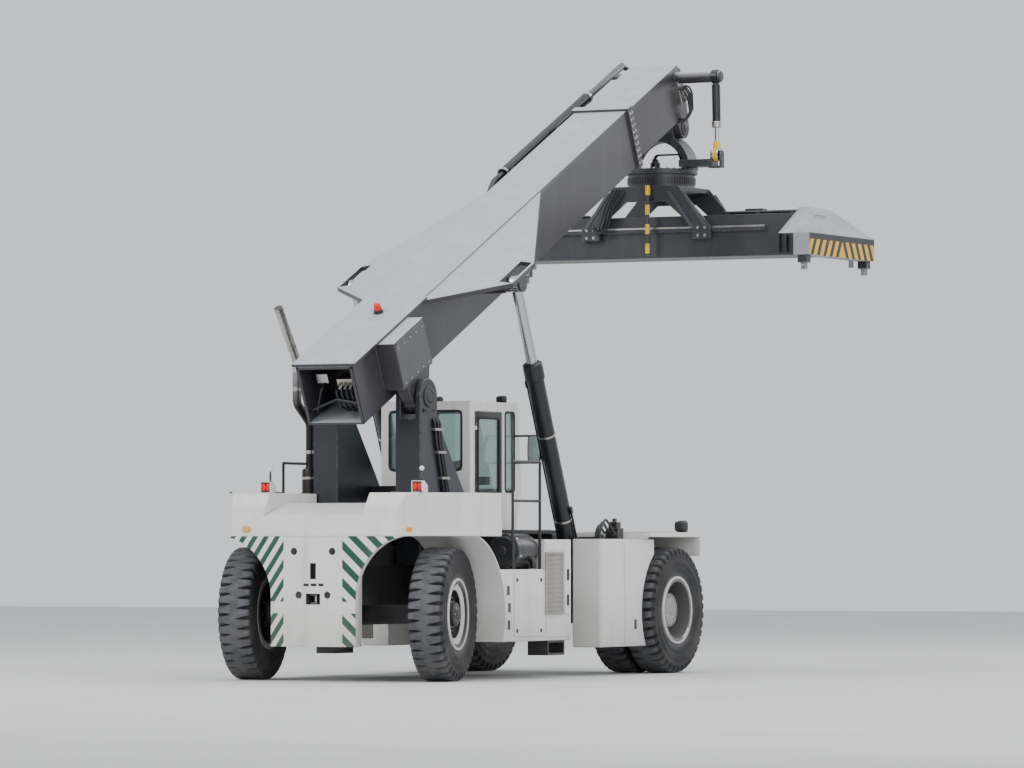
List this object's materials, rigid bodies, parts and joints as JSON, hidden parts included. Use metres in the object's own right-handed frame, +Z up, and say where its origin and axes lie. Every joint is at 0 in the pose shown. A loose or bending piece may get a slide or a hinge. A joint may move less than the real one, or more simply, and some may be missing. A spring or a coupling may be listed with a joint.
{
  "type": "reach stacker",
  "caption": "Two-axle container reach stacker with a telescopic lifting boom, slewing side-shift spreader with telescopic arms, central cab and steered rear wheels.",
  "frame": {"origin": "on the ground, under the middle of the whole machine's bounding box", "axes": "+X forward, from counterweight to spreader; +Y to the machine's left; +Z up"},
  "size_m": [12.332, 6.12, 9.4136],
  "materials": {
    "white_paint": "warm white machine enamel, satin",
    "striped_tail": "white enamel with dark green diagonal bands",
    "boom_paint": "anthracite enamel, satin",
    "spreader_paint": "dark grey enamel, matt",
    "arm_paint": "grey enamel with yellow and black bands",
    "frame_dark": "black chassis enamel",
    "rim_silver": "silver wheel enamel",
    "axle_grey": "dark axle enamel",
    "engine_iron": "painted casting",
    "cylinder_black": "black gloss enamel",
    "rod_chrome": "hard chrome",
    "tyre_rubber": "worn black rubber",
    "cab_glazing": "tinted glass",
    "seat_trim": "dark cloth on foam",
    "console_plastic": "grained plastic",
    "exhaust_steel": "heat-tinted steel",
    "rail_steel": "black tube",
    "hazard_post": "yellow and black bands",
    "lamp_red": "red lens in a dark housing",
    "lamp_amber": "amber dome",
    "lamp_clear": "clear lens in a black housing",
    "mirror_black": "black housing"
  },
  "bodies": {
    "chassis": {"access_steps": "rail_steel", "air_cleaner": "cylinder_black", "cab_glass": "cab_glazing", "cab_shell": "white_paint", "chassis_frame": "frame_dark", "control_console": "console_plastic", "counterweight": "striped_tail", "deck": "frame_dark", "drive_axle": "axle_grey", "engine_block": "engine_iron", "exhaust_stack": "exhaust_steel", "front_fenders": "white_paint", "handrails": "rail_steel", "hood": "white_paint", "louvre_panels": "white_paint", "mirrors": "mirror_black", "mudguards": "white_paint", "operator_seat": "seat_trim", "service_box_left": "white_paint", "service_box_right": "white_paint", "steer_axle": "axle_grey", "tail_lamps": "lamp_red", "tank_left": "white_paint", "tank_right": "white_paint", "towers": "boom_paint", "work_lamps": "lamp_clear"},
    "knuckle_left": {"knuckle_left": "axle_grey"},
    "knuckle_right": {"knuckle_right": "axle_grey"},
    "rear_wheel_left": {"rear_rim_left": "rim_silver", "rear_tyre_left": "tyre_rubber"},
    "rear_wheel_right": {"rear_rim_right": "rim_silver", "rear_tyre_right": "tyre_rubber"},
    "front_wheels_left": {"front_rims_left": "rim_silver", "front_tyres_left": "tyre_rubber"},
    "front_wheels_right": {"front_rims_right": "rim_silver", "front_tyres_right": "tyre_rubber"},
    "cab_door": {"cab_door": "frame_dark", "cab_door_glass": "cab_glazing"},
    "outer_boom": {"outer_boom": "boom_paint", "hose_guide": "cylinder_black", "beacon": "lamp_amber"},
    "inner_boom": {"inner_boom": "boom_paint", "hose_tube": "exhaust_steel"},
    "hanger": {"hanger": "spreader_paint"},
    "rotator": {"rotator_frame": "spreader_paint", "marker_post": "hazard_post"},
    "spreader": {"spreader_beam": "spreader_paint", "beam_pipes": "rail_steel"},
    "arm_left": {"spreader_arm_left": "arm_paint"},
    "arm_right": {"spreader_arm_right": "arm_paint"},
    "lift_barrel_left": {"lift_barrel_left": "cylinder_black"},
    "lift_barrel_right": {"lift_barrel_right": "cylinder_black"},
    "lift_rod_left": {"lift_rod_left": "rod_chrome"},
    "lift_rod_right": {"lift_rod_right": "rod_chrome"},
    "damper_barrel": {"damper_barrel": "cylinder_black"},
    "damper_rod": {"damper_rod": "rod_chrome"}
  },
  "joints": [
    {"name": "steer_left", "type": "hinge", "parent": "chassis", "child": "knuckle_left", "pos_m": [-5.16603, 1.255, 0.925], "axis": [0, 0, 1], "range_deg": [-61, 39]},
    {"name": "steer_right", "type": "hinge", "parent": "chassis", "child": "knuckle_right", "pos_m": [-5.16603, -1.255, 0.925], "axis": [0, 0, 1], "range_deg": [-61, 39]},
    {"name": "rear_wheel_left_spin", "type": "hinge", "parent": "knuckle_left", "child": "rear_wheel_left", "pos_m": [-5.16603, 1.255, 0.925], "axis": [-0.1908, 0.9816, 0], "continuous": true},
    {"name": "front_wheels_left_spin", "type": "hinge", "parent": "chassis", "child": "front_wheels_left", "pos_m": [1.23398, 0, 0.925], "axis": [0, 1, 0], "continuous": true},
    {"name": "rear_wheel_right_spin", "type": "hinge", "parent": "knuckle_right", "child": "rear_wheel_right", "pos_m": [-5.16603, -1.255, 0.925], "axis": [-0.1908, 0.9816, 0], "continuous": true},
    {"name": "front_wheels_right_spin", "type": "hinge", "parent": "chassis", "child": "front_wheels_right", "pos_m": [1.23398, 0, 0.925], "axis": [0, 1, 0], "continuous": true},
    {"name": "cab_door_hinge", "type": "hinge", "parent": "chassis", "child": "cab_door", "pos_m": [-2.71102, -0.736, 2.98], "axis": [0, 0, -1], "range_deg": [0, 85]},
    {"name": "boom_lift", "type": "hinge", "parent": "chassis", "child": "outer_boom", "pos_m": [-4.36602, 0, 3.95], "axis": [0, -1, 0], "range_deg": [-25.3, 34.7]},
    {"name": "boom_extend", "type": "slide", "parent": "outer_boom", "child": "inner_boom", "axis": [0.9041, 0, 0.4274], "range_m": [-0.8, 5.5]},
    {"name": "hanger_swing", "type": "hinge", "parent": "inner_boom", "child": "hanger", "pos_m": [4.94602, 0, 8.35179], "axis": [0, -1, 0], "range_deg": [-34.7, 25.3]},
    {"name": "spreader_slew", "type": "hinge", "parent": "hanger", "child": "rotator", "pos_m": [4.94602, 0, 7.61949], "axis": [0, 0, 1], "range_deg": [-105, 195]},
    {"name": "side_shift", "type": "slide", "parent": "rotator", "child": "spreader", "axis": [0, -1, 0], "range_m": [-0.8, 0.8]},
    {"name": "arm_left_extend", "type": "slide", "parent": "spreader", "child": "arm_left", "axis": [0, 1, 0], "range_m": [0, 3.05]},
    {"name": "arm_right_extend", "type": "slide", "parent": "spreader", "child": "arm_right", "axis": [0, -1, 0], "range_m": [0, 3.05]},
    {"name": "lift_barrel_left_tilt", "type": "hinge", "parent": "chassis", "child": "lift_barrel_left", "pos_m": [-0.62603, 1.3, 1.3], "axis": [0, -1, 0], "range_deg": [-4.71, 6.46]},
    {"name": "lift_rod_left_stroke", "type": "slide", "parent": "lift_barrel_left", "child": "lift_rod_left", "axis": [-0.4117, 0, 0.9113], "range_m": [-0.9907, 1.3585]},
    {"name": "lift_barrel_right_tilt", "type": "hinge", "parent": "chassis", "child": "lift_barrel_right", "pos_m": [-0.62603, -1.3, 1.3], "axis": [0, -1, 0], "range_deg": [-4.71, 6.46]},
    {"name": "lift_rod_right_stroke", "type": "slide", "parent": "lift_barrel_right", "child": "lift_rod_right", "axis": [-0.4117, 0, 0.9113], "range_m": [-0.9907, 1.3585]},
    {"name": "damper_barrel_tilt", "type": "hinge", "parent": "inner_boom", "child": "damper_barrel", "pos_m": [4.64934, -1.07, 9.09642], "axis": [0, -1, 0], "range_deg": [-12.2, 8.9]},
    {"name": "damper_rod_stroke", "type": "slide", "parent": "damper_barrel", "child": "damper_rod", "axis": [0.039, 0, -0.9992], "range_m": [-0.1724, 0.126]}
  ],
  "couplings": [
    {"joint": "steer_right", "follows": "steer_left", "ratio": 1},
    {"joint": "hanger_swing", "follows": "boom_lift", "ratio": -1},
    {"joint": "arm_right_extend", "follows": "arm_left_extend", "ratio": 1},
    {"joint": "lift_barrel_left_tilt", "follows": "boom_lift", "ratio": 0.1858},
    {"joint": "lift_rod_left_stroke", "follows": "boom_lift", "m_per_rad": 2.2414},
    {"joint": "lift_barrel_right_tilt", "follows": "boom_lift", "ratio": 0.1858},
    {"joint": "lift_rod_right_stroke", "follows": "boom_lift", "m_per_rad": 2.2414},
    {"joint": "damper_barrel_tilt", "follows": "boom_lift", "ratio": -0.3512},
    {"joint": "damper_rod_stroke", "follows": "boom_lift", "m_per_rad": -0.28304}
  ]
}
